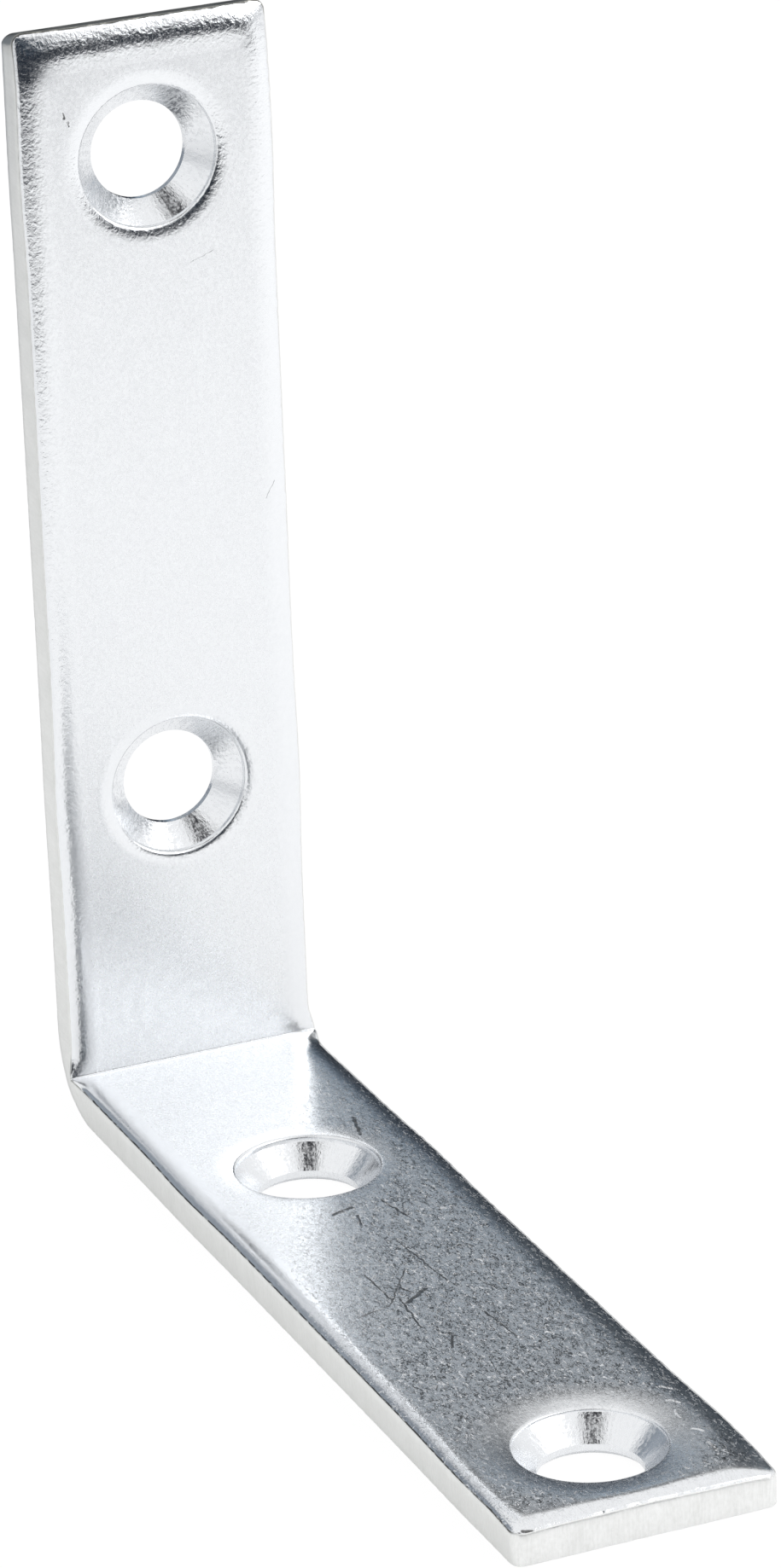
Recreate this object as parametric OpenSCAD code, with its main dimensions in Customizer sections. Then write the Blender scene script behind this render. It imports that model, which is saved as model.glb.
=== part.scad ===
// Angle bracket stamped from flat steel strip: two equal legs at a right angle,
// with two countersunk screw holes in each leg. The standing leg's end is cut at a slant.
// Frame: the planes of the two mounting faces meet along the Y axis, with the origin
// at mid-width. One leg lies along +X and the other stands up along +Z.

/* [Strip] */
// Length of each leg, from the other leg's mounting face to its own tip
leg_length = 75; // [70:1:150]
// Width of the strip
strip_width = 17.5; // [15:0.5:30]
// Thickness of the strip
strip_thickness = 2.7; // [2.4:0.1:4]

/* [Bend] */
// Radius on the outside of the bend
outer_bend_r = 5.6; // [4:0.1:8]
// Radius of the crease on the inside of the bend
inner_bend_r = 0.4; // [0.2:0.1:1]
// How far the squeezed metal stands out of the side walls at the crease
squeeze_height = 0.3; // [0.1:0.1:0.6]
// Radius of the squeezed bump
squeeze_r = 3; // [2:0.5:4]

/* [Sheared edges] */
// Width of the rolled-over band along every edge of the inner faces
roll_width = 1.5; // [0.8:0.1:2]
// Drop of the rolled-over band at the sheared wall
roll_depth = 0.3; // [0.1:0.05:0.5]
// Corner radius of the tips, seen from above the leg
tip_corner_r = 0.8; // [0.3:0.1:1.5]
// How much longer the standing leg is on its inner face, where its end is cut at a slant
end_slant = 0.55; // [0.1:0.05:1]
// Height of the square-cut part of that end, under the rolled-over band
end_land = 0.3; // [0.1:0.1:0.8]

/* [Screw holes] */
// Distance from the lying leg's tip to the centre of the nearest hole
tip_to_hole = 8.2; // [8:0.1:12]
// How much nearer the corner the holes of the standing leg sit
hole_shift = 0.35; // [0:0.05:0.6]
// Distance between the two holes of a leg
hole_pitch = 44; // [20:0.5:46]
// Diameter of the screw hole
hole_d = 6.6; // [6:0.1:7.5]
// Diameter of the countersink's mouth
mouth_d = 9.7; // [8.5:0.1:10]
// Angle between opposite sides of the countersink's cone
cone_angle = 90; // [85:5:100]
// Depth of the upright wall above the cone
mouth_depth = 0.5; // [0.3:0.1:0.6]
// Radius that softens the edge of the mouth
mouth_edge_r = 0.2; // [0.1:0.05:0.3]
// Depth of the break-out around the hole on the mounting face
breakout_depth = 0.3; // [0.1:0.05:0.4]
// How much wider the break-out is than the hole, on each side
breakout_width = 0.3; // [0.1:0.05:0.4]

/* [Hidden] */
$fn = 96;

// How far a cutter reaches past the surface it cuts
reach = 1;
// Height of the plain sheared wall under the rolled-over band
wall_height = strip_thickness - roll_depth;
// Width of the flat between the two rolled-over bands
flat_width = strip_width - 2 * roll_width;
// Radius of the arc that meets the flat tangentially and drops by roll_depth at the wall
roll_r = (roll_width * roll_width + roll_depth * roll_depth) / (2 * roll_depth);
// Depth of the cone, from its angle and its two diameters
cone_depth = (mouth_d - hole_d) / 2 / tan(cone_angle / 2);
// Centre of the squeezed bumps, measured from each mounting face
squeeze_centre = strip_thickness - inner_bend_r;
// Centres of the lying leg's holes, measured from the corner
hole_centres = [leg_length - tip_to_hole - hole_pitch, leg_length - tip_to_hole];

// Outline of one edge: a sheared wall topped by the roll-over arc.
// The wall stands at edge_at, and the outline is filled back to fill_from.
module edge_outline(fill_from, edge_at) {
    translate([fill_from, 0]) square([edge_at - fill_from, wall_height]);
    intersection() {
        translate([edge_at - roll_width, strip_thickness - roll_r]) circle(roll_r);
        translate([max(fill_from, edge_at - roll_width), 0])
            square([edge_at - max(fill_from, edge_at - roll_width), strip_thickness]);
    }
    if (fill_from < edge_at - roll_width)
        translate([fill_from, 0]) square([edge_at - roll_width - fill_from, strip_thickness]);
}

// Cross-section of the strip, rolled over on both sides
module strip_section() {
    edge_outline(0, strip_width / 2);
    mirror([1, 0]) edge_outline(0, strip_width / 2);
}

// Strip along +X with its mounting face at z = 0, before its tip is shaped
module strip_bar(length) {
    rotate([90, 0, 90]) linear_extrude(length) strip_section();
}

// Side view of a leg: flat along its length, rolled over at the tip
module leg_side_view(length) {
    translate([0, strip_width / 2 + reach, 0]) rotate([90, 0, 0])
        linear_extrude(strip_width + 2 * reach) edge_outline(0, length);
}

// One rounded corner of a tip, with the roll-over carried round it
module tip_corner(length) {
    translate([length - tip_corner_r, strip_width / 2 - tip_corner_r, 0])
        rotate_extrude(angle = 90) edge_outline(0, tip_corner_r);
}

// Square block that a rounded tip corner takes the place of
module tip_corner_block(length) {
    translate([length - tip_corner_r, strip_width / 2 - tip_corner_r, -reach])
        cube([tip_corner_r + reach, tip_corner_r + reach, strip_thickness + 2 * reach]);
}

// What the slanting cut takes off the standing leg's end, in side view along the leg
module slanting_cut() {
    top = wall_height - end_land;
    translate([0, strip_width / 2 + reach, 0]) rotate([90, 0, 0])
        linear_extrude(strip_width + 2 * reach)
            polygon([
                [leg_length - end_slant * reach / top, -reach],
                [leg_length + end_slant, top],
                [leg_length + end_slant + reach, top],
                [leg_length + end_slant + reach, -reach]
            ]);
}

// Half of a screw hole's section, from the mounting face up to the inner face
module hole_section() {
    hole_r = hole_d / 2;
    mouth_r = mouth_d / 2;
    cone_top = strip_thickness - mouth_depth;
    polygon([
        [0, -reach],
        [hole_r + breakout_width, -reach],
        [hole_r + breakout_width, 0],
        [hole_r, breakout_depth],
        [hole_r, cone_top - cone_depth],
        [mouth_r, cone_top],
        [mouth_r, strip_thickness + reach],
        [0, strip_thickness + reach]
    ]);
    difference() {
        translate([mouth_r - mouth_edge_r, strip_thickness - mouth_edge_r])
            square([2 * mouth_edge_r, mouth_edge_r + reach]);
        translate([mouth_r + mouth_edge_r, strip_thickness - mouth_edge_r]) circle(mouth_edge_r);
    }
}

// One leg with its shaped tip and its two countersunk holes
module leg(length, shift) {
    difference() {
        union() {
            difference() {
                intersection() {
                    strip_bar(length);
                    leg_side_view(length);
                }
                tip_corner_block(length);
                mirror([0, 1, 0]) tip_corner_block(length);
            }
            tip_corner(length);
            mirror([0, 1, 0]) tip_corner(length);
        }
        for (x = hole_centres) translate([x - shift, 0, 0]) rotate_extrude() hole_section();
    }
}

// The leg that stands up, before it is turned upright
module standing_leg() {
    difference() {
        leg(leg_length + end_slant, hole_shift);
        slanting_cut();
    }
}

// The inside of the bend in side view: both legs at full thickness and the crease radius
module bend_side_view() {
    span = outer_bend_r + squeeze_r;
    difference() {
        square(span);
        translate([strip_thickness + inner_bend_r, strip_thickness + inner_bend_r]) circle(inner_bend_r);
        translate([strip_thickness + inner_bend_r, strip_thickness]) square(span);
        translate([strip_thickness, strip_thickness + inner_bend_r]) square(span);
    }
}

// The bend's side view as a bar of the given width
module bend_bar(width) {
    translate([0, width / 2, 0]) rotate([90, 0, 0]) linear_extrude(width) bend_side_view();
}

// Metal squeezed out sideways at the two ends of the crease
module squeezed_ends() {
    intersection() {
        bend_bar(strip_width + 2 * reach);
        for (side = [-1, 1])
            translate([squeeze_centre, side * (strip_width / 2 + squeeze_height - squeeze_r), squeeze_centre])
                sphere(squeeze_r);
    }
}

// What is cut away to round the outside of the bend
module outer_bend_cut() {
    width = strip_width + 2 * (squeeze_height + reach);
    translate([0, width / 2, 0]) rotate([90, 0, 0]) linear_extrude(width)
        difference() {
            translate([-reach, -reach]) square(outer_bend_r + reach);
            translate([outer_bend_r, outer_bend_r]) circle(outer_bend_r);
        }
}

module bracket() {
    color("silver")
        difference() {
            union() {
                leg(leg_length, 0);
                mirror([1, 0, -1]) standing_leg();
                bend_bar(flat_width);
                squeezed_ends();
            }
            outer_bend_cut();
        }
}

bracket();
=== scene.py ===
import math
import bpy
from mathutils import Matrix, Vector, noise


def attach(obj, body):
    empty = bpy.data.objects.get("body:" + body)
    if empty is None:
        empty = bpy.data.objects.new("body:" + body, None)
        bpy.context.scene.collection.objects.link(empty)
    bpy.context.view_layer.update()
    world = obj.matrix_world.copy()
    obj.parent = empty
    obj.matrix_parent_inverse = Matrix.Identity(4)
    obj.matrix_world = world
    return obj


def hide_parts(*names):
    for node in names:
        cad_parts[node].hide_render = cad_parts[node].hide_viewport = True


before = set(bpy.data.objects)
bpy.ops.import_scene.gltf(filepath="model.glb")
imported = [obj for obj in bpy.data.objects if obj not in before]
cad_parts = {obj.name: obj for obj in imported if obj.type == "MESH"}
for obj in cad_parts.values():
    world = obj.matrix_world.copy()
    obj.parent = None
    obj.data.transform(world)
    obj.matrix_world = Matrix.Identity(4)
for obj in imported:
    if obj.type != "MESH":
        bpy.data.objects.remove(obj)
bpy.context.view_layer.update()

# Sizes of the bracket in millimetres. A pair holds the lying leg's value and the standing leg's.
WIDTH = 17.5
THICK = 2.7
OUTER_BEND_R = 5.6
INNER_BEND_R = 0.08
TIP_CORNER_R = 0.8
# Lengths of the inner faces, how much shorter the cut ends leave the mounting faces, and over what length
LENGTHS = (75.0, 75.72)
END_SLANTS = (0.0, 0.47)
SLANT_REACH = 2.0
# Centres of the holes, from the corner
HOLE_CENTRES = ((22.8, 66.8), (22.45, 66.45))
HOLE_R = 3.3
MOUTH_R = 4.76
MOUTH_DEPTH = 0.5
MOUTH_EDGE_R = 0.2
BREAKOUT_DEPTH = 0.3
BREAKOUT_WIDTH = 0.3

# Band rolled over along the edges of the inner faces: its widths at the left side, the right side and the end
ROLL_WIDTHS = ((1.3, 3.1, 1.35), (1.8, 1.8, 1.98))
# Share of its width that the right side's band has at the corner, and how far from there it has all of it
ROLL_START_SHARE = 0.7
ROLL_START_REACH = 20.0
# Depth of the band at the wall, and what it has on top at the right, from this far off the middle
ROLL_DEPTH = 0.33
ROLL_EXTRA_DEPTHS = (0.066, 0.0)
ROLL_EXTRA_REACH = 6.0
# Power of its curve across, and how much deeper, as a share, and how much fuller it is near the end
ROLL_POWER = 2.4
TIP_ROLL_GAIN = 0.3
TIP_ROLL_FULLER = 0.4
# Distance from the end at which that starts, and the length over which it comes on
TIP_ROLL_START = 4.0
TIP_ROLL_REACH = 3.0
# Share by which the band varies, its swings per millimetre, and how far off the middle the sides have parted
ROLL_VARIATION = 0.12
ROLL_VARIATION_SCALE = 0.11
ROLL_VARIATION_PARTING = 3.0
# Share of the band that is left at the crease, and how far from the crease it is whole
CREASE_ROLL_SHARE = 0.15
CREASE_ROLL_REACH = 1.6

# Signs of stamping and of use. The ends' corners are pressed down, the right ones less than the left ones.
CORNER_PRESSES = (0.10, 0.34)
CORNER_PRESS_REACH = 2.1
CORNER_PRESS_RIGHT = 0.6
# Dishes round the holes, as depth and width
DISHES = (((0.10, 1.6), (0.30, 3.2)), ((0.14, 1.0), (0.15, 1.3)))
# Metal raised along the crease
CREASE_RISE = 0.03
CREASE_RISE_REACH = 1.3
# Side walls pushed out beside the holes, and the share of it that the mounting face has
HOLE_BULGE = 0.13
BULGE_LENGTH = 5.0
BULGE_BASE_SHARE = 0.35
# Metal squeezed out sideways at the crease, and drawn in sideways at the outside of the bend
SQUEEZE = 0.3
SQUEEZE_REACH = 1.1
BEND_NARROWING = 0.12
BEND_NARROWING_PLACE = 1.6
BEND_NARROWING_REACH = 1.3
# Half width of the strip's middle, which those bulges don't move
STILL_HALF_WIDTH = 5.5
# Rounding of the edges, and the share by which nicks change it
EDGE_R = 0.12
NICK_SHARE = 0.55
NICK_SCALE = 1.7
# Unevenness of the inner faces: heights, and swings per millimetre
WAVE_HEIGHT = 0.012
WAVE_SCALE = 0.16
GRIT_HEIGHT = 0.004
GRIT_SCALE = 1.3

# Grid of the mesh, in millimetres: half the square round each hole, the spacing, and the distances of the
# grid lines from the end of the crease and from the strip's edges
HOLE_PATCH = 6.3
SPACING = 0.315
CREASE_STEPS = (0.05, 0.14, 0.28)
EDGE_STEPS = (0.0, 0.2, 0.3, 0.42, 0.56, 0.72, 0.92, 1.15, 1.42, 1.75, 2.1)
SMALLEST_STEP = 0.1
# Numbers of steps in half the crease, up a wall, round a hole's rim, down its cone and out to its square
CREASE_ARC_STEPS = 5
WALL_STEPS = 8
RIM_STEPS = 4
CONE_STEPS = 8
HOLE_RINGS = 9
# Height above the cone of the last ring of the mouth's wall
MOUTH_WALL_STEP = 0.1
# How far apart the textures of a leg's two holes are, in millimetres round the bore
BORE_TEXTURE_GAP = 30
SHARP_ANGLE = 40

# Camera, as fitted to the photograph, in metres and degrees
CAM_AZIMUTH = 67.367
CAM_ELEVATION = 21.991
CAM_ROLL = -2.145
CAM_AIM = Vector((0.03859, 0.00034, 0.03533))
CAM_DISTANCE = 0.4317
CAM_LENS = 106.39
CAM_SENSOR = 24.0

# Colours of the plating on the rolled faces, and in scratches
ZINC = (0.85, 0.865, 0.885, 1)
ZINC_DULL = (0.83, 0.845, 0.865, 1)
ZINC_MARK = (0.08, 0.08, 0.08, 1)
# Colours of the sheared walls: in general; on the sides, darker there as painted shade of the shadowed floor
# that they reflect; on the standing leg's end; and along the upper edge, a painted dark reflection
WALL = (0.88, 0.885, 0.88, 1)
WALL_DULL = (0.78, 0.785, 0.775, 1)
WALL_SIDE_PAINTED_SHADE = (0.70, 0.71, 0.69, 1)
WALL_END = (0.26, 0.25, 0.21, 1)
WALL_EDGE_PAINTED_REFLECTION = (0.10, 0.10, 0.095, 1)
# Heights of the finest relief, in metres
FACE_RELIEF = 0.000016
WALL_RELIEF = 0.000010
# Where the looks of the inner faces change, in millimetres. A pair holds the place where a change starts and
# the place where it is full. Pressed metal, by distance from the strip's edges and the standing leg's mouths:
PRESSED_AT_EDGE = (2.2, 0.6)
PRESSED_AT_MOUTH = (1.2, 0.3)
# Wear of the lying leg, along it and earlier at its right by this slope. It is less at the end, and its bright
# specks are fewer at the right.
WEAR_START = (18.0, 38.0)
WEAR_SLOPE = 2.4
WEAR_END = (72.6, 74.2)
SPECKS_END = (5.2, 7.2)
# Coarse grain of the standing leg, along it
GRAIN_START = (0.0, -8.0)
GRAIN_RISE = (-46.0, -66.0)
# Where the looks of the walls change. Up is from the mounting face. Along is from the corner up the left side,
# past 75 across the end and past 92.5 down the right side, and negative on the standing leg.
# The painted dark reflection along the upper edge comes in over these heights up, and from this place along
PAINTED_REFLECTION_UP = (2.2, 2.45)
PAINTED_REFLECTION_START = (0.0, 6.0)
SIDE_END = (75.2, 74.2)
STANDING_END_START = (-74.0, -76.0)
STANDING_END_STOP = (-94.5, -93.0)

# Scratches on the two inner faces, in millimetres: place along and across the strip of either end, and width.
# Along is negative on the standing leg.
SCRATCHES = (
    (36.3, 0.7, 42.8, 1.25, 0.09),
    (47.9, 1.5, 51.9, 1.9, 0.10),
    (39.7, -3.15, 43.5, -3.0, 0.10),
    (39.9, -0.4, 44.5, -3.5, 0.09),
    (45.1, -5.9, 44.5, -3.6, 0.08),
    (41.9, -2.0, 43.4, -1.4, 0.09),
    (44.5, -2.2, 43.2, -0.5, 0.24),
    (43.8, -2.5, 48.1, -2.9, 0.11),
    (30.6, -1.4, 30.1, 0.1, 0.26),
    (50.0, -1.6, 51.5, -2.3, 0.14),
    (31.4, -0.1, 33.1, -0.5, 0.14),
    (29.9, 2.2, 33.2, 2.8, 0.12),
    (17.3, 5.6, 20.0, 5.0, 0.20),
    (-70.2, -5.8, -69.9, -5.65, 0.07),
    (-69.95, -5.7, -69.9, -5.68, 0.12),
    (-69.6, -5.5, -69.3, -5.4, 0.07),
    (-69.6, -5.46, -69.55, -5.44, 0.10),
    (-58.9, 2.5, -59.5, 4.2, 0.016),
    (-41.7, 7.1, -42.9, 7.8, 0.016),
    (74.8, -8.1, 74.95, -7.6, 0.22),
)
# Bright scuffs, in the same terms
SCUFFS = (
    (62.2, 6.9, 62.7, 7.4, 0.16),
    (64.0, 6.5, 64.6, 7.0, 0.16),
    (68.0, 6.3, 68.7, 6.7, 0.14),
    (65.4, 6.3, 66.4, 6.2, 0.12),
    (70.2, 6.3, 71.4, 6.2, 0.12),
    (40.8, 4.2, 41.3, 4.4, 0.12),
    (52.2, 3.8, 52.5, 4.1, 0.12),
)

# Studio, in metres. The floor's colour to the camera, and in reflections a painted pool of light at its
# brightest and painted shade beyond that.
FLOOR_HALF = 3.0
FLOOR_WHITE = (1.02, 1.02, 1.02, 1)
FLOOR_PAINTED_LIGHT = (1.31, 1.31, 1.31, 1)
FLOOR_PAINTED_SHADE = (0.62, 0.63, 0.65, 1)
FLOOR_PAPER = (0.9, 0.9, 0.9, 1)
# Middle of the painted pool of light that the floor shows in reflections, and where it starts and ends to fall
# off into painted shade
FLOOR_CENTRE = (0.14, 0.10, 0.0)
FLOOR_PAINTED_LIGHT_RADIUS = 0.115
FLOOR_PAINTED_SHADE_RADIUS = 0.32
# How much the camera and the reflections see of those colours in place of the paper, which takes the shadow
CAMERA_SHARE = 0.93
MIRROR_SHARE = 0.25
# Sine of the elevation in the sky and the colour there
SKY = (
    (-1.0, (0.6, 0.6, 0.6)),
    (0.0, (0.55, 0.56, 0.58)),
    (0.25, (0.96, 0.965, 0.97)),
    (0.7, (1.0, 1.0, 1.0)),
)
# Point that the lamp, the screens and the cards stand round. Azimuth 0 is +X and 90 is +Y.
STUDIO_CENTRE = Vector((0.03, 0.0, 0.04))
# Screens of painted reflection that only reflections show, mostly dark, with a painted bright band on the back
# one.
# Each is a fan on the floor that rises into a wall, with a first and a last side in the order of azimuth. The
# colours run from its near edge at 0 over the foot of the wall at 0.5 to the top of the wall at 1. The fades
# are the share of the half width at which a side starts to fade, and the shares of the way up at which the
# screen has faded in and at which it starts to fade out.
FRONT_DARK = ((0.0, (0.015, 0.02, 0.03)), (1.0, (0.015, 0.02, 0.03)))
SCREENS = (
    {
        "name": "back_screen",
        "azimuth": 181.5,
        "width": 107,
        "near": (0.10, 0.42),
        "far": 0.80,
        "height": 0.72,
        "first_colours": (
            (0.61, (0.006, 0.009, 0.018)),
            (0.69, (0.05, 0.08, 0.12)),
            # Painted bright band of reflection
            (0.7465, (0.60, 0.73, 0.86)),
            (0.765, (0.52, 0.58, 0.63)),
            (0.78, (0.56, 0.585, 0.61)),
            (0.80, (0.34, 0.35, 0.36)),
            (0.83, (0.14, 0.143, 0.146)),
        ),
        "last_colours": (
            (0.585, (0.24, 0.27, 0.31)),
            (0.68, (0.34, 0.38, 0.43)),
            (0.80, (0.26, 0.29, 0.33)),
        ),
        "fades": (0.80, 0.15, 0.90),
    },
    {
        "name": "front_screen",
        "azimuth": 0,
        "width": 80,
        "near": (0.13, 0.33),
        "far": 1.20,
        "height": 0.36,
        "first_colours": FRONT_DARK,
        "last_colours": FRONT_DARK,
        "fades": (0.85, 0.07, 0.90),
    },
)
SCREEN_COLUMNS = 16
SCREEN_HALF_ROWS = 6
SCREEN_LIFT = 0.001
# Shares of a screen's width between which its near edge and its colours go over to the last side's
NEAR_CHANGE = (0.4, 0.9)
COLOUR_CHANGE = (0.38, 0.52)
# Cards of painted dark reflection that only reflections show: name, azimuth, low and high elevation, width in
# degrees, and colour
CARDS = (
    ("camera_card", -9, 8, 33, 40, (0.03, 0.045, 0.065)),
    ("side_card", 142, 4, 30, 19, (0.07, 0.085, 0.10)),
    ("high_card", -28, 50, 76, 28, (0.02, 0.02, 0.025)),
)
CARD_DISTANCE = 0.5
CARD_FADES = (0.55, 0.25, 0.75)


def smooth(x):
    """0 below 0, 1 above 1 and a smooth step between."""
    x = min(max(x, 0.0), 1.0)
    return x * x * (3 - 2 * x)


def bell(x, width):
    """1 at 0, falling off smoothly on both sides."""
    return math.exp(-(x / width) ** 2)


def spread(start, end, step):
    """Evenly spaced values after start, up to end."""
    n = max(1, round((end - start) / step))
    return [start + (end - start) * (i + 1) / n for i in range(n)]


def soft_min(a, b, sharpness=5.0):
    """The smaller of two values, rounded where they are alike."""
    return -math.log(math.exp(-sharpness * a) + math.exp(-sharpness * b)) / sharpness


def uneven(u, v, scale, layer):
    """Smooth noise over a face, with its swings per millimetre and a layer number for each use."""
    return noise.noise(Vector((u * scale, v * scale, layer)))


class Strip:
    """The bent strip as one mesh. A leg's own coordinates are u along it from the corner, v across it
    and h up from its mounting face. Leg 0 lies along +X and leg 1 stands along +Z."""

    BOTTOM, TOP = 0, 1
    INNER_FACE, WALL_FACE, BORE_FACE, MOUNTING_FACE = range(4)

    def __init__(self):
        self.verts, self.faces, self.kinds, self.coords, self.index = [], [], [], [], {}
        half = WIDTH / 2
        self.v_lines = [-half + s for s in EDGE_STEPS] + [-HOLE_PATCH]
        self.v_lines += spread(-HOLE_PATCH, HOLE_PATCH, SPACING)
        self.v_lines += [half - s for s in reversed(EDGE_STEPS)]
        self.u_lines, self.patches = [], []
        for length, centres in zip(LENGTHS, HOLE_CENTRES):
            start = THICK + INNER_BEND_R
            lines = [0.0] * CREASE_ARC_STEPS + [start] + [start + s for s in CREASE_STEPS]
            start = lines[-1]
            patches = []
            for centre in centres:
                lines += spread(start, centre - HOLE_PATCH, SPACING)
                first = len(lines) - 1
                lines += spread(centre - HOLE_PATCH, centre + HOLE_PATCH, SPACING)
                patches.append((centre, first, len(lines) - 1))
                start = centre + HOLE_PATCH
            lines += [length - s for s in reversed(EDGE_STEPS) if length - s > start + SMALLEST_STEP]
            self.u_lines.append(lines)
            self.patches.append(patches)
        self.v_first = self.v_lines.index(-HOLE_PATCH)
        self.v_last = len(self.v_lines) - 1 - len(EDGE_STEPS)

    def side_growth(self, leg, u, level):
        """How far the side wall stands out of the strip's nominal half width beside the holes."""
        bulges = sum(HOLE_BULGE * bell(u - c, BULGE_LENGTH) for c in HOLE_CENTRES[leg])
        return bulges * (BULGE_BASE_SHARE + (1 - BULGE_BASE_SHARE) * level)

    def plan(self, leg, u, v):
        """A grid point moved so that the tip's corners are round."""
        du, dv = u - (LENGTHS[leg] - TIP_CORNER_R), abs(v) - (WIDTH / 2 - TIP_CORNER_R)
        if du > 0 and dv > 0:
            a, b = du / TIP_CORNER_R, dv / TIP_CORNER_R
            du, dv = du * math.sqrt(1 - b * b / 2), dv * math.sqrt(1 - a * a / 2)
            u = LENGTHS[leg] - TIP_CORNER_R + du
            v = math.copysign(WIDTH / 2 - TIP_CORNER_R + dv, v)
        return u, v

    def roll(self, leg, u, v):
        """Depth of the band rolled over along the sides and the end."""
        parted = max(-1.0, min(1.0, v / ROLL_VARIATION_PARTING))
        vary = 1 + ROLL_VARIATION * noise.noise(Vector((u * ROLL_VARIATION_SCALE, 3 * leg + parted, 0.5)))
        left, right, end = ROLL_WIDTHS[leg]
        if v > 0:
            side = right * (ROLL_START_SHARE + (1 - ROLL_START_SHARE) * smooth(u / ROLL_START_REACH))
        else:
            side = left
        to_end = LENGTHS[leg] - u
        inset = soft_min((WIDTH / 2 - abs(v)) / (side * vary), to_end / (end * vary))
        tip = smooth((TIP_ROLL_START - to_end) / TIP_ROLL_REACH)
        depth = ROLL_DEPTH + ROLL_EXTRA_DEPTHS[leg] * smooth(v / ROLL_EXTRA_REACH)
        curve = max(0.0, 1 - inset) ** (ROLL_POWER - TIP_ROLL_FULLER * tip)
        return depth * (1 + TIP_ROLL_GAIN * tip) * vary * curve

    def corner_press(self, leg, u, v):
        """Depth to which a corner of the end is pressed down."""
        corner = math.hypot(LENGTHS[leg] - u, WIDTH / 2 - abs(v))
        side = 1.0 if v < 0 else CORNER_PRESS_RIGHT
        return CORNER_PRESSES[leg] * side * bell(corner, CORNER_PRESS_REACH)

    def dish(self, leg, u, v):
        """Depth of the dishes round the holes."""
        total = 0.0
        for centre, (depth, width) in zip(HOLE_CENTRES[leg], DISHES[leg]):
            ring = max(0.0, math.hypot(u - centre, v) - MOUTH_R)
            total += depth * max(0.0, 1 - ring / width) ** 2
        return total

    def drop(self, leg, u, v):
        """How far the inner face lies under the full thickness."""
        edges = self.roll(leg, u, v) + self.corner_press(leg, u, v)
        from_crease = max(0.0, u - THICK)
        clear = smooth(from_crease / CREASE_ROLL_REACH)
        rise = CREASE_RISE * math.exp(-from_crease / CREASE_RISE_REACH)
        wave = WAVE_HEIGHT * uneven(u, v, WAVE_SCALE, 7 + 5 * leg)
        grit = GRIT_HEIGHT * uneven(u, v, GRIT_SCALE, 2 + 5 * leg)
        edges *= CREASE_ROLL_SHARE + (1 - CREASE_ROLL_SHARE) * clear
        return edges - rise + self.dish(leg, u, v) + (wave + grit) * clear

    def path(self, leg, i, v, level):
        """Point on the inner or mounting side of grid row i, as (u, h, v)."""
        u = self.u_lines[leg][i]
        if level == self.TOP:
            uu, vv = self.plan(leg, max(u, THICK), v)
            h = THICK - self.drop(leg, uu, vv)
            if i < CREASE_ARC_STEPS:
                turn = math.radians(225 + 45 * i / CREASE_ARC_STEPS)
                c = h + INNER_BEND_R
                return c + INNER_BEND_R * math.cos(turn), c + INNER_BEND_R * math.sin(turn), vv
            return max(uu, h + INNER_BEND_R), h, vv
        last = next(k for k, x in enumerate(self.u_lines[leg]) if x >= OUTER_BEND_R)
        if i < last:
            turn = math.radians(225 + 45 * i / last)
            return OUTER_BEND_R * (1 + math.cos(turn)), OUTER_BEND_R * (1 + math.sin(turn)), v
        uu, vv = self.plan(leg, u if i > last else OUTER_BEND_R, v)
        slant = END_SLANTS[leg] * smooth((uu - LENGTHS[leg] + SLANT_REACH) / SLANT_REACH)
        return uu - slant, 0.0, vv

    def outward(self, leg, i, j):
        """Direction out of the strip's outline at a grid point on it, as (u, v)."""
        u, v = self.plan(leg, self.u_lines[leg][i], self.v_lines[j])
        cu, cv = LENGTHS[leg] - TIP_CORNER_R, WIDTH / 2 - TIP_CORNER_R
        if u > cu and abs(v) > cv:
            d = Vector((u - cu, math.copysign(abs(v) - cv, v)))
            return d.normalized()
        return Vector((0, math.copysign(1, v))) if j in (0, len(self.v_lines) - 1) else Vector((1, 0))

    def place(self, leg, u, h, v, level):
        """Leg coordinates to the part's frame, with the sideways bulges."""
        near = smooth((abs(v) - STILL_HALF_WIDTH) / (WIDTH / 2 - STILL_HALF_WIDTH))
        grow = self.side_growth(leg, u, level)
        grow += SQUEEZE * bell(math.hypot(u - THICK, h - THICK), SQUEEZE_REACH)
        bend = math.hypot(u - BEND_NARROWING_PLACE, h - BEND_NARROWING_PLACE)
        grow -= BEND_NARROWING * bell(bend, BEND_NARROWING_REACH) * (1 - level)
        v += math.copysign(grow * near, v)
        return (u, v, h) if leg == 0 else (h, v, u)

    def vert(self, key, make):
        """Number of the vertex with this key, made when it is first asked for."""
        if key not in self.index:
            self.index[key] = len(self.verts)
            self.verts.append(make())
        return self.index[key]

    def grid_vert(self, leg, i, j, level):
        """Grid point of a face, drawn in from the outline by the rounding of the edge."""
        key = ("grid", 0 if i == 0 else leg, i, j, level)

        def make():
            u, h, v = self.path(leg, i, self.v_lines[j], level)
            if self.on_outline(leg, i, j):
                n, r = self.outward(leg, i, j), self.edge_radius(leg, i, j)
                u, v = u - r * n[0], v - r * n[1]
            return self.place(leg, u, h, v, level)
        return self.vert(key, make)

    def on_outline(self, leg, i, j):
        return j in (0, len(self.v_lines) - 1) or i == len(self.u_lines[leg]) - 1

    def edge_radius(self, leg, i, j):
        """Rounding of the edge above or below an outline point, with the small nicks of use."""
        nick = uneven(self.u_lines[leg][i], self.v_lines[j], NICK_SCALE, 11 + 7 * leg)
        return EDGE_R * (1 + NICK_SHARE * nick)

    def wall_vert(self, leg, i, j, t):
        """Point t of the wall under outline point (i, j), from 0 at the mounting face to WALL_STEPS at the
        inner face. The first and the last two steps go round the edges."""
        if t in (0, WALL_STEPS):
            return self.grid_vert(leg, i, j, t // WALL_STEPS)
        key = ("wall", 0 if i == 0 else leg, i, j, t)

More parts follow.
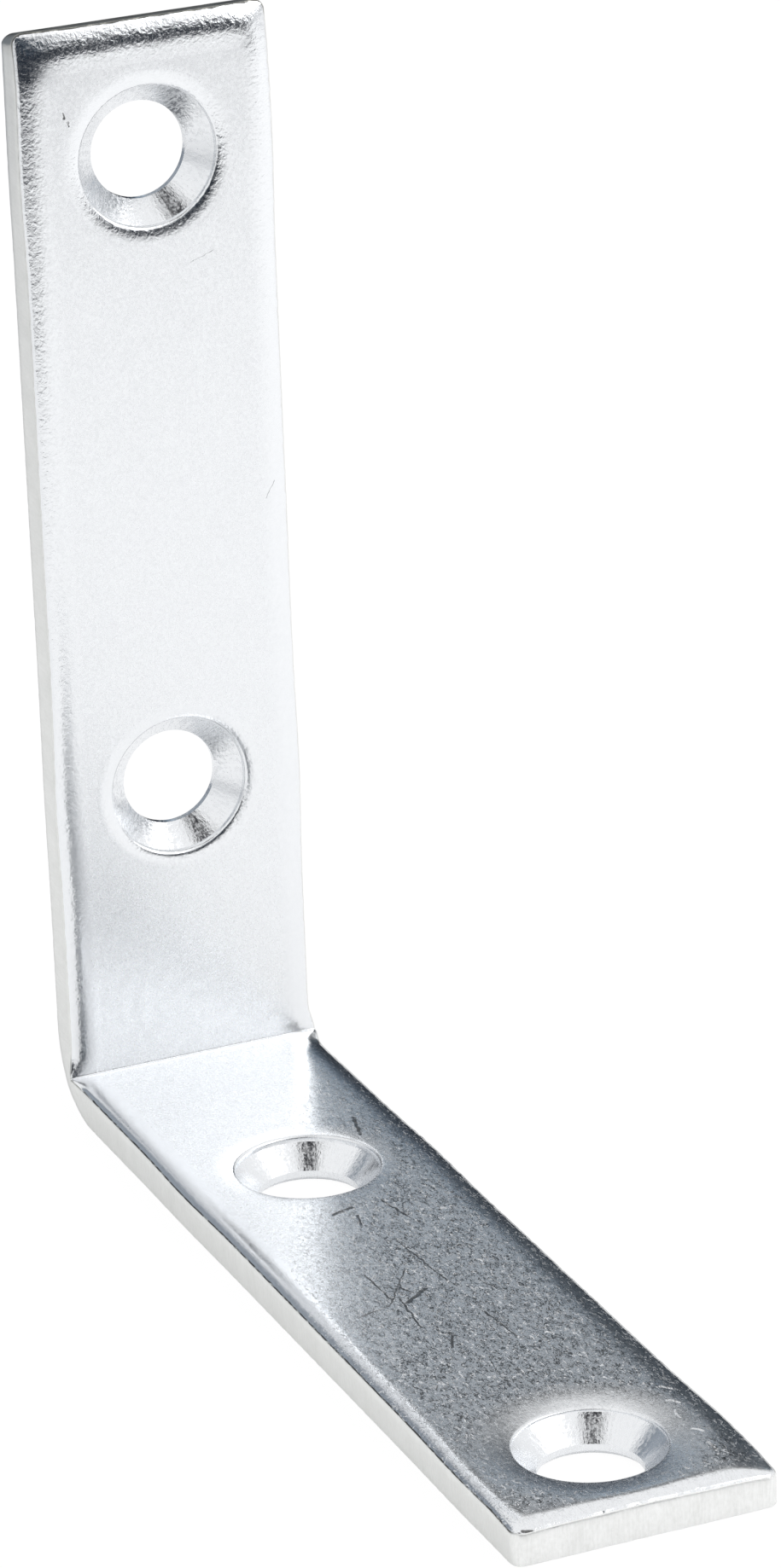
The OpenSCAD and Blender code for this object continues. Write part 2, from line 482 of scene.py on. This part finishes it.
        def make():
            bu, bh, bv = self.path(leg, i, self.v_lines[j], self.BOTTOM)
            tu, th, tv = self.path(leg, i, self.v_lines[j], self.TOP)
            n = self.outward(leg, i, j)
            length = math.hypot(tu - bu, th - bh)
            r = self.edge_radius(leg, i, j)
            if t in (1, WALL_STEPS - 1):
                back = along = r * (1 - math.sqrt(0.5))
            else:
                back, along = 0, r
            if t <= 2:
                f = along / length
            elif t >= WALL_STEPS - 2:
                f = 1 - along / length
            else:
                f = r / length + (1 - 2 * r / length) * (t - 2) / (WALL_STEPS - 4)
            u, h, v = bu + (tu - bu) * f, bh + (th - bh) * f, bv + (tv - bv) * f
            return self.place(leg, u - back * n[0], h, v - back * n[1], f)
        return self.vert(key, make)

    def face(self, kind, corners, coords, flip):
        """Adds a face with its texture coordinates, in millimetres on the surface."""
        if flip:
            corners, coords = corners[::-1], coords[::-1]
        self.faces.append(tuple(corners))
        self.kinds.append(kind)
        self.coords += coords

    def on_strip(self, leg, u, v):
        """Place along and across the strip, negative along the standing leg."""
        return (-u if leg else u), v

    def in_patch(self, leg, i, j):
        """Whether a grid cell is in the square round a hole."""
        return self.v_first <= j < self.v_last and any(a <= i < b for _, a, b in self.patches[leg])

    def build_sides(self, leg):
        for level, kind in ((self.BOTTOM, self.MOUNTING_FACE), (self.TOP, self.INNER_FACE)):
            for i in range(len(self.u_lines[leg]) - 1):
                for j in range(len(self.v_lines) - 1):
                    if self.in_patch(leg, i, j):
                        continue
                    around = ((i, j), (i + 1, j), (i + 1, j + 1), (i, j + 1))
                    quad = [self.grid_vert(leg, a, b, level) for a, b in around]
                    coords = [self.on_strip(leg, self.u_lines[leg][a], self.v_lines[b]) for a, b in around]
                    self.face(kind, quad, coords, (level == self.TOP) == (leg == 1))

    def build_walls(self, leg):
        rows, cols = len(self.u_lines[leg]), len(self.v_lines)
        outline = ([(i, 0) for i in range(rows)] + [(rows - 1, j) for j in range(1, cols)]
                   + [(i, cols - 1) for i in range(rows - 2, -1, -1)])
        far = 0.0
        for a, b in zip(outline, outline[1:]):
            step = math.dist(*([self.u_lines[leg][p[0]], self.v_lines[p[1]]] for p in (a, b)))
            for t in range(WALL_STEPS):
                quad = [self.wall_vert(leg, *a, t), self.wall_vert(leg, *b, t),
                        self.wall_vert(leg, *b, t + 1), self.wall_vert(leg, *a, t + 1)]
                low, high = THICK * t / WALL_STEPS, THICK * (t + 1) / WALL_STEPS
                start, end = self.on_strip(leg, far, low)[0], self.on_strip(leg, far + step, low)[0]
                coords = [(start, low), (end, low), (end, high), (start, high)]
                self.face(self.WALL_FACE, quad, coords, leg == 1)
            far += step

    def hole_profile(self):
        """Half section of a hole from the inner face to the mounting face, as radii and heights."""
        rim = []
        for k in range(RIM_STEPS + 1):
            turn = math.radians(90 * k / RIM_STEPS)
            down = MOUTH_EDGE_R * (1 - math.cos(turn))
            rim.append((MOUTH_R + MOUTH_EDGE_R * (1 - math.sin(turn)), THICK - down))
        cone_top = THICK - MOUTH_DEPTH
        cone_end = cone_top - (MOUTH_R - HOLE_R)
        wall = [(MOUTH_R, cone_top + MOUTH_WALL_STEP), (MOUTH_R, cone_top)]
        cone = [(MOUTH_R + (HOLE_R - MOUTH_R) * f, cone_top + (cone_end - cone_top) * f)
                for f in (k / CONE_STEPS for k in range(1, CONE_STEPS + 1))]
        land = [(HOLE_R, (cone_end + BREAKOUT_DEPTH) / 2), (HOLE_R, BREAKOUT_DEPTH)]
        out = [(HOLE_R + BREAKOUT_WIDTH * f, BREAKOUT_DEPTH * (1 - f)) for f in (0.5, 1.0)]
        return rim + wall + cone + land + out

    def hole_spoke(self, leg, patch, n, i, j):
        """Vertices from a grid point on the square round a hole, over the inner face and down through the
        hole, to the same grid point on the mounting face."""
        centre = self.patches[leg][patch][0]
        du, dv = self.u_lines[leg][i] - centre, self.v_lines[j]
        r = math.hypot(du, dv)

        def at(radius, h, level, tag):
            u, v = centre + du / r * radius, dv / r * radius
            dip = self.drop(leg, u, v) * max(0.0, 1 - (THICK - h) / MOUTH_DEPTH)
            return self.vert(("hole", leg, patch, n, tag), lambda: self.place(leg, u, h - dip, v, level))

        profile = self.hole_profile()
        r_top, r_bottom = profile[0][0], profile[-1][0]
        shares = [(k, k / HOLE_RINGS) for k in range(1, HOLE_RINGS)]
        spoke = [self.grid_vert(leg, i, j, self.TOP)]
        spoke += [at(r + (r_top - r) * f, THICK, 1, ("top", k)) for k, f in shares]
        spoke += [at(radius, h, h / THICK, ("bore", k)) for k, (radius, h) in enumerate(profile)]
        spoke += [at(r_bottom + (r - r_bottom) * f, 0.0, 0, ("bottom", k)) for k, f in shares]
        return spoke + [self.grid_vert(leg, i, j, self.BOTTOM)]

    def build_hole(self, leg, patch):
        _, first, last = self.patches[leg][patch]
        v0, v1 = self.v_first, self.v_last
        loop = ([(i, v0) for i in range(first, last)] + [(last, j) for j in range(v0, v1)]
                + [(i, v1) for i in range(last, first, -1)] + [(first, j) for j in range(v1, v0, -1)])
        spokes = [self.hole_spoke(leg, patch, n, i, j) for n, (i, j) in enumerate(loop)]
        bore = range(HOLE_RINGS + RIM_STEPS, HOLE_RINGS + len(self.hole_profile()) - 1)
        for n, (a, b) in enumerate(zip(spokes, spokes[1:] + spokes[:1])):
            for k in range(len(a) - 1):
                quad = [a[k], b[k], b[k + 1], a[k + 1]]
                if k in bore:
                    kind = self.BORE_FACE
                    depth = k - HOLE_RINGS
                    start, end = (HOLE_R * math.tau * m / len(spokes) for m in (n, n + 1))
                    gap = BORE_TEXTURE_GAP * patch
                    start, end = start + gap, end + gap
                    coords = [(start, depth), (end, depth), (end, depth + 1), (start, depth + 1)]
                else:
                    kind = self.INNER_FACE if k < bore[0] else self.MOUNTING_FACE
                    coords = [self.on_strip(leg, *self.flat_place(leg, q)) for q in quad]
                self.face(kind, quad, coords, leg == 1)

    def flat_place(self, leg, vert):
        """Place of a vertex along and across its leg."""
        x, y, z = self.verts[vert]
        return (x, y) if leg == 0 else (z, y)

    def mesh(self, name):
        for leg in (0, 1):
            self.build_sides(leg)
            self.build_walls(leg)
            for patch in range(len(self.patches[leg])):
                self.build_hole(leg, patch)
        mesh = bpy.data.meshes.new(name)
        mesh.from_pydata([Vector(p) / 1000 for p in self.verts], [], self.faces)
        mesh.polygons.foreach_set("material_index", self.kinds)
        mesh.polygons.foreach_set("use_smooth", [True] * len(self.faces))
        mesh.uv_layers.new(name="strip").uv.foreach_set("vector", [c for pair in self.coords for c in pair])
        mesh.set_sharp_from_angle(angle=math.radians(SHARP_ANGLE))
        mesh.update()
        return mesh


class Nodes:
    """A node tree under construction. Values given as node sockets are linked, others are set."""

    def __init__(self, tree):
        self.tree = tree
        tree.nodes.clear()

    def put(self, value, socket):
        if isinstance(value, bpy.types.NodeSocket):
            self.tree.links.new(value, socket)
        else:
            socket.default_value = value

    def add(self, kind, inputs=(), **settings):
        node = self.tree.nodes.new(kind)
        for name, value in settings.items():
            setattr(node, name, value)
        for key, value in dict(inputs).items():
            self.put(value, node.inputs[key])
        return node

    def math(self, operation, a, b=0.0, clamp=False):
        return self.add("ShaderNodeMath", {0: a, 1: b}, operation=operation, use_clamp=clamp).outputs[0]

    def times(self, a, b):
        return self.math("MULTIPLY", a, b)

    def plus(self, a, b):
        return self.math("ADD", a, b)

    def minus(self, a, b):
        return self.math("SUBTRACT", a, b)

    def most(self, a, b):
        return self.math("MAXIMUM", a, b)

    def scale(self, vector, factors):
        return self.add("ShaderNodeVectorMath", {0: vector, 1: factors}, operation="MULTIPLY").outputs[0]

    def shift(self, vector, offset):
        return self.add("ShaderNodeVectorMath", {0: vector, 1: offset}, operation="ADD").outputs[0]

    def distance(self, a, b):
        return self.add("ShaderNodeVectorMath", {0: a, 1: b}, operation="DISTANCE").outputs["Value"]

    def parts(self, vector):
        return self.add("ShaderNodeSeparateXYZ", {0: vector}).outputs

    def layer(self, name):
        return self.add("ShaderNodeUVMap", uv_map=name).outputs[0]

    def millimetres(self):
        """Place in the object, in millimetres."""
        return self.scale(self.add("ShaderNodeTexCoord").outputs["Object"], (1000, 1000, 1000))

    def noise(self, vector, scale, detail=2.0, roughness=0.5, distortion=0.0):
        inputs = {"Vector": vector, "Scale": scale, "Detail": detail, "Roughness": roughness,
                  "Distortion": distortion}
        return self.add("ShaderNodeTexNoise", inputs).outputs["Fac"]

    def remap(self, value, low, high, to_low=0.0, to_high=1.0):
        return self.add("ShaderNodeMapRange", {"Value": value, "From Min": low, "From Max": high,
                                               "To Min": to_low, "To Max": to_high}).outputs["Result"]

    def ramp(self, value, stops):
        """Colour at a value from 0 to 1, from pairs of position and colour."""
        node = self.add("ShaderNodeValToRGB", {0: value})
        elements = node.color_ramp.elements
        for k, (position, colour) in enumerate(stops):
            stop = elements[k] if k < 2 else elements.new(position)
            stop.position = position
            stop.color = (*colour, 1)
        return node.outputs[0]

    def blend(self, factor, a, b):
        """Colour a at 0 and colour b at 1."""
        node = self.add("ShaderNodeMix", data_type="RGBA")
        for key, value in ((0, factor), (6, a), (7, b)):
            self.put(value, node.inputs[key])
        return node.outputs[2]


def new_material(name):
    material = bpy.data.materials.new(name)
    material.use_nodes = True
    return material, Nodes(material.node_tree)


def finish_metal(n, colour, roughness, height, relief):
    bump = n.add("ShaderNodeBump", {"Height": height, "Strength": 1.0, "Distance": relief})
    metal = n.add("ShaderNodeBsdfPrincipled", {"Base Color": colour, "Metallic": 1.0, "Roughness": roughness,
                                               "Normal": bump.outputs[0]})
    n.add("ShaderNodeOutputMaterial", {"Surface": metal.outputs[0]})


def strip_masks(n, strip, along, across):
    """How strongly the metal was rolled over or pressed down, and how deep it lies in the dish of a hole."""
    inset = n.minus(WIDTH / 2, n.math("ABSOLUTE", across))
    inset = n.math("MINIMUM", inset, n.minus(LENGTHS[0], n.math("ABSOLUTE", along)))
    pressed = n.remap(inset, *PRESSED_AT_EDGE)
    dished = 0.0
    for side, centres, dishes in zip((1, -1), HOLE_CENTRES, DISHES):
        for centre, (_, width) in zip(centres, dishes):
            away = n.distance(strip, (side * centre, 0, 0))
            dished = n.most(dished, n.remap(away, MOUTH_R + width, MOUTH_R + 0.3 * width))
            if side < 0:
                near = n.remap(away, MOUTH_R + PRESSED_AT_MOUTH[0], MOUTH_R + PRESSED_AT_MOUTH[1])
                pressed = n.most(pressed, near)
    return pressed, dished


def line_mask(n, point, lines):
    """1 in the middle of the lines and 0 away from them."""
    mask = 0.0
    for u0, v0, u1, v1, width in lines:
        run = Vector((u1 - u0, v1 - v0, 0))
        start = n.add("ShaderNodeVectorMath", {0: point, 1: (u0, v0, 0)}, operation="SUBTRACT").outputs[0]
        dot = n.add("ShaderNodeVectorMath", {0: start, 1: run / run.length_squared},
                    operation="DOT_PRODUCT").outputs["Value"]
        share = n.math("MULTIPLY", dot, 1.0, clamp=True)
        foot = n.add("ShaderNodeVectorMath", {0: run, "Scale": share}, operation="SCALE").outputs[0]
        mask = n.most(mask, n.remap(n.distance(start, foot), width * 0.85, width * 0.45))
    return mask


def stroke_mask(n, rolled):
    """Short strokes in patches, in two sizes."""
    strokes = 0.0
    for scale, width, low in ((3.0, 0.045, 0.46), (4.8, 0.06, 0.47)):
        field = n.noise(n.shift(rolled, (7 * scale, 0, 3)), scale, 1, 0.5, 1.2)
        ridge = n.remap(n.math("ABSOLUTE", n.minus(field, 0.5)), width, width * 0.4)
        patch = n.remap(n.noise(rolled, scale * 0.6, 2, 0.6), low, low + 0.05)
        strokes = n.most(strokes, n.times(ridge, patch))
    return strokes


def face_base(n, place):
    """Colour, roughness, mottling and grain that all the rolled faces have."""
    cloud = n.noise(place, 0.35, 3, 0.6)
    mottle = n.noise(place, 2.4, 3, 0.65)
    grain = n.noise(place, 4.6, 3, 0.6, 0.5)
    gloss = n.noise(n.shift(place, (9, 4, 2)), 4.2, 3, 0.6, 0.8)
    tone = n.plus(n.times(mottle, 0.7), n.times(cloud, 0.3))
    colour = n.blend(n.remap(tone, 0.38, 0.62), ZINC, ZINC_DULL)
    return colour, n.remap(gloss, 0.38, 0.62, 0.22, 0.30), mottle, grain


def mounting_face_material():
    """Plain zinc plating."""
    material, n = new_material("zinc_mounting_face")
    colour, roughness, _, grain = face_base(n, n.millimetres())
    finish_metal(n, colour, roughness, n.times(grain, 0.4), FACE_RELIEF)
    return material


def inner_face_material():
    """Zinc plating that is grainy where it was rolled over and pressed. The lying leg is the more worn and
    carries most of the scratches."""
    material, n = new_material("zinc_inner_face")
    place = n.millimetres()
    colour, roughness, mottle, grain = face_base(n, place)
    strip = n.layer("strip")
    along, across, _ = n.parts(strip)
    pressed, dished = strip_masks(n, strip, along, across)
    lying = n.remap(n.plus(along, n.times(across, WEAR_SLOPE)), *WEAR_START)
    lying = n.times(lying, n.remap(along, *WEAR_END, 1.0, 0.3))
    rolled = n.scale(place, (0.5, 1.0, 0.5))
    specks = n.times(n.remap(n.noise(n.shift(rolled, (3, 8, 5)), 4.4, 2, 0.6, 1.0), 0.59, 0.65), lying)
    specks = n.times(specks, n.remap(dished, 0.0, 1.0, 1.0, 0.2))
    specks = n.times(specks, n.remap(across, *SPECKS_END, 1.0, 0.35))
    worn = n.times(n.times(lying, 0.9), n.remap(dished, 0.0, 1.0, 1.0, 0.15))
    strokes = n.times(stroke_mask(n, rolled), n.times(worn, n.remap(pressed, 0.0, 1.0, 1.0, 0.3)))
    # Scratches wander a little from their lines
    jitter = n.add("ShaderNodeTexNoise", {"Vector": place, "Scale": 1.6, "Detail": 2.0}).outputs["Color"]
    point = n.shift(strip, n.scale(n.shift(jitter, (-0.5, -0.5, 0)), (0.35, 0.35, 0)))
    scratches = n.times(line_mask(n, point, SCRATCHES), n.remap(mottle, 0.36, 0.5, 0.45, 1.0))
    scuffs = n.most(line_mask(n, point, SCUFFS), n.times(specks, 0.9))
    marks = n.most(strokes, n.times(scratches, 0.9))
    # Coarse grain of the pressed metal, which is strongest near the standing leg's end
    coarse = n.noise(n.shift(place, (2, 2, 7)), 3.0, 2, 0.5, 0.4)
    banded = n.times(n.remap(along, *GRAIN_START, 0.55, 1.0), n.remap(along, *GRAIN_RISE, 0.62, 1.0))
    banded = n.times(pressed, banded)
    fine = n.times(grain, n.most(n.remap(banded, 0.0, 1.0, 0.06, 1.0), n.times(lying, 0.6)))
    rough = n.plus(fine, n.times(coarse, n.times(banded, 1.6)))
    height = n.plus(n.minus(rough, n.times(scratches, 0.5)), scuffs)
    smoother = n.plus(n.times(pressed, 0.09), n.times(marks, 0.06))
    roughness = n.plus(n.minus(roughness, smoother), n.times(scuffs, 0.45))
    finish_metal(n, n.blend(marks, colour, ZINC_MARK), roughness, height, FACE_RELIEF)
    return material


def wall_material():
    """Sheared walls: fine lines through the thickness, sides darkened as painted shade, and a painted dark
    reflection along the upper edge in places.
    """
    material, n = new_material("zinc_wall")
    place = n.layer("strip")
    lines = n.noise(n.scale(place, (6, 0.9, 1)), 1.0, 3, 0.6, 0.4)
    cloud = n.noise(place, 0.6, 4, 0.65)
    shade = n.plus(n.times(lines, 0.5), n.times(cloud, 0.5))
    along, up, _ = n.parts(place)
    # Painted dark reflection along the upper edge, in places
    painted_edge_reflection = n.times(n.remap(up, *PAINTED_REFLECTION_UP), n.remap(n.noise(place, 1.3, 3, 0.6), 0.36, 0.5))
    side = n.remap(along, *SIDE_END)
    end = n.times(n.remap(along, *STANDING_END_START), n.remap(along, *STANDING_END_STOP))
    painted_edge_reflection = n.times(painted_edge_reflection, n.most(n.times(side, n.remap(along, *PAINTED_REFLECTION_START)), end))
    grit = n.noise(n.scale(place, (5, 4, 1)), 1.0, 2, 0.6)
    shade = n.plus(n.times(shade, 0.7), n.times(grit, 0.3))
    colour = n.blend(n.remap(shade, 0.4, 0.6), WALL, WALL_DULL)
    # Painted shade: the sides are darker for the shadowed floor that they reflect
    colour = n.blend(n.times(side, 0.5), colour, WALL_SIDE_PAINTED_SHADE)
    colour = n.blend(n.times(end, 0.75), colour, WALL_END)
    colour = n.blend(painted_edge_reflection, colour, WALL_EDGE_PAINTED_REFLECTION)
    roughness = n.remap(cloud, 0.3, 0.7, 0.28, 0.38)
    finish_metal(n, colour, roughness, n.plus(n.times(lines, 0.6), grit), WALL_RELIEF)
    return material


def cone_material():
    """Pressed cones of the holes: grainy, with streaks that run down the cone."""
    material, n = new_material("zinc_cone")
    streaks = n.noise(n.scale(n.layer("strip"), (5, 0.25, 1)), 1.0, 3, 0.6, 0.5)
    grain = n.noise(n.millimetres(), 4.5, 2, 0.55, 0.4)
    colour = n.blend(n.remap(streaks, 0.4, 0.7), ZINC, ZINC_DULL)
    height = n.plus(n.times(streaks, 0.6), n.times(grain, 0.8))
    both = n.plus(n.times(streaks, 0.5), n.times(grain, 0.5))
    finish_metal(n, colour, n.remap(both, 0.42, 0.58, 0.10, 0.32), height, FACE_RELIEF)
    return material


def make_bracket():
    strip = bpy.data.objects.new("angle_strip", Strip().mesh("angle_strip"))
    bpy.context.scene.collection.objects.link(strip)
    # In the order of the strip's kinds of face
    for material in (inner_face_material(), wall_material(), cone_material(), mounting_face_material()):
        strip.data.materials.append(material)
    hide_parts("bracket")
    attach(strip, "root")


def make_camera():
    data = bpy.data.cameras.new("camera")
    data.sensor_width = CAM_SENSOR
    data.lens = CAM_LENS
    data.clip_start, data.clip_end = 0.01, 20
    azimuth, elevation = math.radians(CAM_AZIMUTH), math.radians(CAM_ELEVATION)
    back = Vector((math.sin(azimuth) * math.cos(elevation),
                   -math.cos(azimuth) * math.cos(elevation),
                   math.sin(elevation)))
    turn = back.to_track_quat("Z", "Y").to_matrix() @ Matrix.Rotation(math.radians(CAM_ROLL), 3, "Z")
    cam = bpy.data.objects.new("camera", data)
    cam.matrix_world = Matrix.Translation(CAM_AIM + back * CAM_DISTANCE) @ turn.to_4x4()
    bpy.context.scene.collection.objects.link(cam)
    bpy.context.scene.camera = cam


def make_floor():
    mesh = bpy.data.meshes.new("floor")
    r = FLOOR_HALF
    mesh.from_pydata([(-r, -r, 0), (r, -r, 0), (r, r, 0), (-r, r, 0)], [], [(0, 1, 2, 3)])
    floor = bpy.data.objects.new("floor", mesh)
    bpy.context.scene.collection.objects.link(floor)
    material, n = new_material("floor")
    path = n.add("ShaderNodeLightPath").outputs
    mirrored = n.most(path["Is Glossy Ray"], path["Is Transmission Ray"])
    share = n.most(n.times(path["Is Camera Ray"], CAMERA_SHARE), n.times(mirrored, MIRROR_SHARE))
    # Painted pool of light and painted shade, which only reflections see
    apart = n.distance(n.add("ShaderNodeTexCoord").outputs["Object"], FLOOR_CENTRE)
    painted_floor_light = n.blend(n.remap(apart, FLOOR_PAINTED_LIGHT_RADIUS, FLOOR_PAINTED_SHADE_RADIUS), FLOOR_PAINTED_LIGHT, FLOOR_PAINTED_SHADE)
    seen = n.blend(path["Is Camera Ray"], painted_floor_light, FLOOR_WHITE)
    white = n.add("ShaderNodeEmission", {"Color": seen, "Strength": 1.0})
    paper = n.add("ShaderNodeBsdfDiffuse", {"Color": FLOOR_PAPER})
    mix = n.add("ShaderNodeMixShader", {0: share, 1: paper.outputs[0], 2: white.outputs[0]})
    n.add("ShaderNodeOutputMaterial", {"Surface": mix.outputs[0]})
    mesh.materials.append(material)


def make_world():
    world = bpy.data.worlds.new("world")
    bpy.context.scene.world = world
    world.use_nodes = True
    n = Nodes(world.node_tree)
    up = n.parts(n.add("ShaderNodeTexCoord").outputs["Generated"])["Z"]
    sky = n.ramp(n.remap(up, -1, 1), [(0.5 + height / 2, colour) for height, colour in SKY])
    back = n.add("ShaderNodeBackground", {"Color": sky, "Strength": 1.0})
    n.add("ShaderNodeOutputWorld", {"Surface": back.outputs[0]})


def direction(azimuth, elevation):
    """Unit vector, from degrees."""
    a, e = math.radians(azimuth), math.radians(elevation)
    return Vector((math.cos(a) * math.cos(e), math.sin(a) * math.cos(e), math.sin(e)))


def make_softbox(name, azimuth, elevation, distance, size, radiance):
    """Square area light that faces the bracket. Its radiance, not its power, is given."""
    data = bpy.data.lights.new(name, "AREA")
    data.shape = "SQUARE"
    data.size = size
    data.energy = radiance * math.pi * size * size
    box = bpy.data.objects.new(name, data)
    towards = direction(azimuth, elevation)
    box.matrix_world = (Matrix.Translation(STUDIO_CENTRE + towards * distance)
                        @ towards.to_track_quat("Z", "Y").to_matrix().to_4x4())
    box.visible_camera = False
    bpy.context.scene.collection.objects.link(box)


def make_shade(name, verts, faces, coords, first_colours, last_colours, fades):
    """Soft-edged sheet of painted reflection, mostly dark, that only reflections show. Its coordinates run
    from 0 to 1 each way.
    """
    mesh = bpy.data.meshes.new(name)
    mesh.from_pydata(verts, [], faces)
    layer = mesh.uv_layers.new(name="sheet").uv
    layer.foreach_set("vector", [c for face in faces for k in face for c in coords[k]])
    sheet = bpy.data.objects.new(name, mesh)
    bpy.context.scene.collection.objects.link(sheet)
    side_fade, near_fade, far_fade = fades
    material, n = new_material(name)
    across, along, _ = n.parts(n.layer("sheet"))
    side = n.times(n.math("ABSOLUTE", n.minus(across, 0.5)), 2.0)
    mask = n.times(n.remap(side, 1.0, side_fade), n.remap(along, 0.0, near_fade))
    mask = n.times(mask, n.remap(along, 1.0, far_fade))
    first, last = n.ramp(along, first_colours), n.ramp(along, last_colours)
    colour = n.blend(n.remap(across, *COLOUR_CHANGE), first, last)
    # Painted reflection: the sheet glows in its colours, seen only in reflections
    painted_reflection = n.add("ShaderNodeEmission", {"Color": colour, "Strength": 1.0})
    clear = n.add("ShaderNodeBsdfTransparent")
    mix = n.add("ShaderNodeMixShader", {0: mask, 1: clear.outputs[0], 2: painted_reflection.outputs[0]})
    n.add("ShaderNodeOutputMaterial", {"Surface": mix.outputs[0]})
    mesh.materials.append(material)
    sheet.visible_camera = sheet.visible_diffuse = sheet.visible_shadow = False


def make_screen(name, azimuth, width, near, far, height, first_colours, last_colours, fades):
    """Curved screen round the bracket: a fan on the floor that rises into a wall at its far edge."""
    columns, half = SCREEN_COLUMNS, SCREEN_HALF_ROWS
    verts, coords = [], []
    for row in range(2 * half + 1):
        for column in range(columns + 1):
            side = column / columns
            turn = smooth((side - NEAR_CHANGE[0]) / (NEAR_CHANGE[1] - NEAR_CHANGE[0]))
            start = near[0] + (near[1] - near[0]) * turn
            out = start + (far - start) * min(1.0, row / half)
            up = SCREEN_LIFT + height * max(0.0, row / half - 1)
            middle = STUDIO_CENTRE + direction(azimuth + width * (side - 0.5), 0) * out
            verts.append((middle.x, middle.y, up))
            coords.append((side, row / (2 * half)))
    faces = [(k, k + 1, k + columns + 2, k + columns + 1)
             for row in range(2 * half) for k in range(row * (columns + 1), row * (columns + 1) + columns)]
    make_shade(name, verts, faces, coords, first_colours, last_colours, fades)


def make_card(name, azimuth, low, high, width, colour):
    """Flat card, square to the bracket."""
    towards = direction(azimuth, (low + high) / 2)
    across = direction(azimuth + 90, 0)
    rise = towards.cross(across) * CARD_DISTANCE * math.tan(math.radians((high - low) / 2))
    across = across * CARD_DISTANCE * math.tan(math.radians(width / 2))
    middle = STUDIO_CENTRE + towards * CARD_DISTANCE
    verts = [middle - across - rise, middle + across - rise, middle + across + rise, middle - across + rise]
    colours = ((0.0, colour), (1.0, colour))
    make_shade(name, verts, [(0, 1, 2, 3)], [(0, 0), (1, 0), (1, 1), (0, 1)], colours, colours, CARD_FADES)


make_camera()
make_floor()
make_world()
make_softbox("front_box", azimuth=48, elevation=30, distance=0.9, size=0.62, radiance=2.2)
for screen in SCREENS:
    make_screen(**screen)
for card in CARDS:
    make_card(*card)
make_bracket()

bpy.context.scene.view_settings.view_transform = "Standard"
